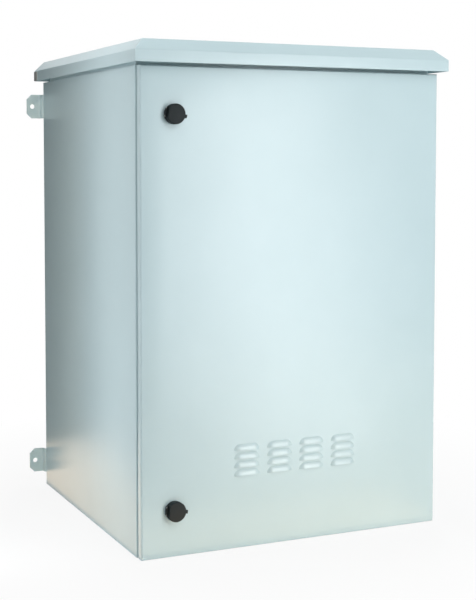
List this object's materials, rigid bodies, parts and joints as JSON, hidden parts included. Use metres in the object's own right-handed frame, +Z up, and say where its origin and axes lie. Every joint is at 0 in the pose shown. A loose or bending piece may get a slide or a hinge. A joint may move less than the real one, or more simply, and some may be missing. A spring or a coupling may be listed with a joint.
{
  "type": "outdoor wall-mount server cabinet",
  "caption": "Weatherproof wall-mount equipment cabinet of folded sheet steel with a hinged louvred door, capped cam locks, a sloped rain roof and wall lugs.",
  "frame": {"origin": "centre of the four wall holes, on the wall plane", "axes": "+X to the right seen from the front, +Y from the front to the wall, +Z up"},
  "size_m": [0.664, 0.616, 0.9045],
  "materials": {
    "powder_coat": "fine-textured semi-gloss polyester powder coat, pale cyan grey",
    "zinc_plated_steel": "bright zinc plating, slightly dull",
    "black_plastic": "moulded black polyamide, fine satin texture",
    "nickel_plated_brass": "satin nickel plating",
    "gasket_rubber": "black foamed gasket, closed skin",
    "filter_fabric": "off-white needled filter fleece"
  },
  "bodies": {
    "cabinet": {"body_wrap": "powder_coat", "top_pan": "powder_coat", "base_pan": "powder_coat", "roof": "powder_coat", "roof_collar": "powder_coat", "roof_runners": "powder_coat", "roof_bolts": "zinc_plated_steel", "roof_nuts": "zinc_plated_steel", "vent_mat": "filter_fabric", "vent_tray": "zinc_plated_steel", "vent_nuts": "zinc_plated_steel", "gland_plate": "zinc_plated_steel", "gland_gasket": "gasket_rubber", "gland_nuts": "zinc_plated_steel", "upper_left_lug": "powder_coat", "upper_right_lug": "powder_coat", "lower_left_lug": "powder_coat", "lower_right_lug": "powder_coat", "lug_bolts": "zinc_plated_steel", "lug_nuts": "zinc_plated_steel", "upper_left_bar": "zinc_plated_steel", "upper_right_bar": "zinc_plated_steel", "lower_left_bar": "zinc_plated_steel", "lower_right_bar": "zinc_plated_steel", "front_left_rail": "zinc_plated_steel", "front_right_rail": "zinc_plated_steel", "rear_left_rail": "zinc_plated_steel", "rear_right_rail": "zinc_plated_steel", "rail_screws": "zinc_plated_steel", "rail_nuts": "zinc_plated_steel", "hinge_arms": "zinc_plated_steel"},
    "door": {"door_skin": "powder_coat", "door_gasket": "gasket_rubber", "left_stiffener": "powder_coat", "right_stiffener": "powder_coat", "louvre_mat": "filter_fabric", "louvre_tray": "zinc_plated_steel", "louvre_nuts": "zinc_plated_steel", "hinge_lugs": "zinc_plated_steel", "hinge_pins": "zinc_plated_steel", "upper_lock_housing": "black_plastic", "upper_lock_nut": "zinc_plated_steel", "upper_cap_pin": "zinc_plated_steel", "lower_lock_housing": "black_plastic", "lower_lock_nut": "zinc_plated_steel", "lower_cap_pin": "zinc_plated_steel"},
    "upper_lock": {"upper_lock_barrel": "nickel_plated_brass", "upper_lock_cam": "zinc_plated_steel", "upper_cam_screw": "zinc_plated_steel"},
    "lower_lock": {"lower_lock_barrel": "nickel_plated_brass", "lower_lock_cam": "zinc_plated_steel", "lower_cam_screw": "zinc_plated_steel"},
    "upper_cap": {"upper_dust_cap": "black_plastic"},
    "lower_cap": {"lower_dust_cap": "black_plastic"}
  },
  "joints": [
    {"name": "door_swing", "type": "hinge", "parent": "cabinet", "child": "door", "pos_m": [0.2915, -0.5905, 0], "axis": [0, 0, 1], "range_deg": [0, 120]},
    {"name": "upper_lock_turn", "type": "hinge", "parent": "door", "child": "upper_lock", "pos_m": [-0.2395, -0.6, 0.346], "axis": [0, 1, 0], "range_deg": [0, 90]},
    {"name": "lower_lock_turn", "type": "hinge", "parent": "door", "child": "lower_lock", "pos_m": [-0.2395, -0.6, -0.346], "axis": [0, 1, 0], "range_deg": [0, 90]},
    {"name": "upper_cap_flip", "type": "hinge", "parent": "door", "child": "upper_cap", "pos_m": [-0.25505, -0.6053, 0.34931], "axis": [-0.2079, 0, -0.9781], "range_deg": [0, 110]},
    {"name": "lower_cap_flip", "type": "hinge", "parent": "door", "child": "lower_cap", "pos_m": [-0.25534, -0.6053, -0.34461], "axis": [-0.0872, 0, -0.9962], "range_deg": [0, 110]}
  ]
}
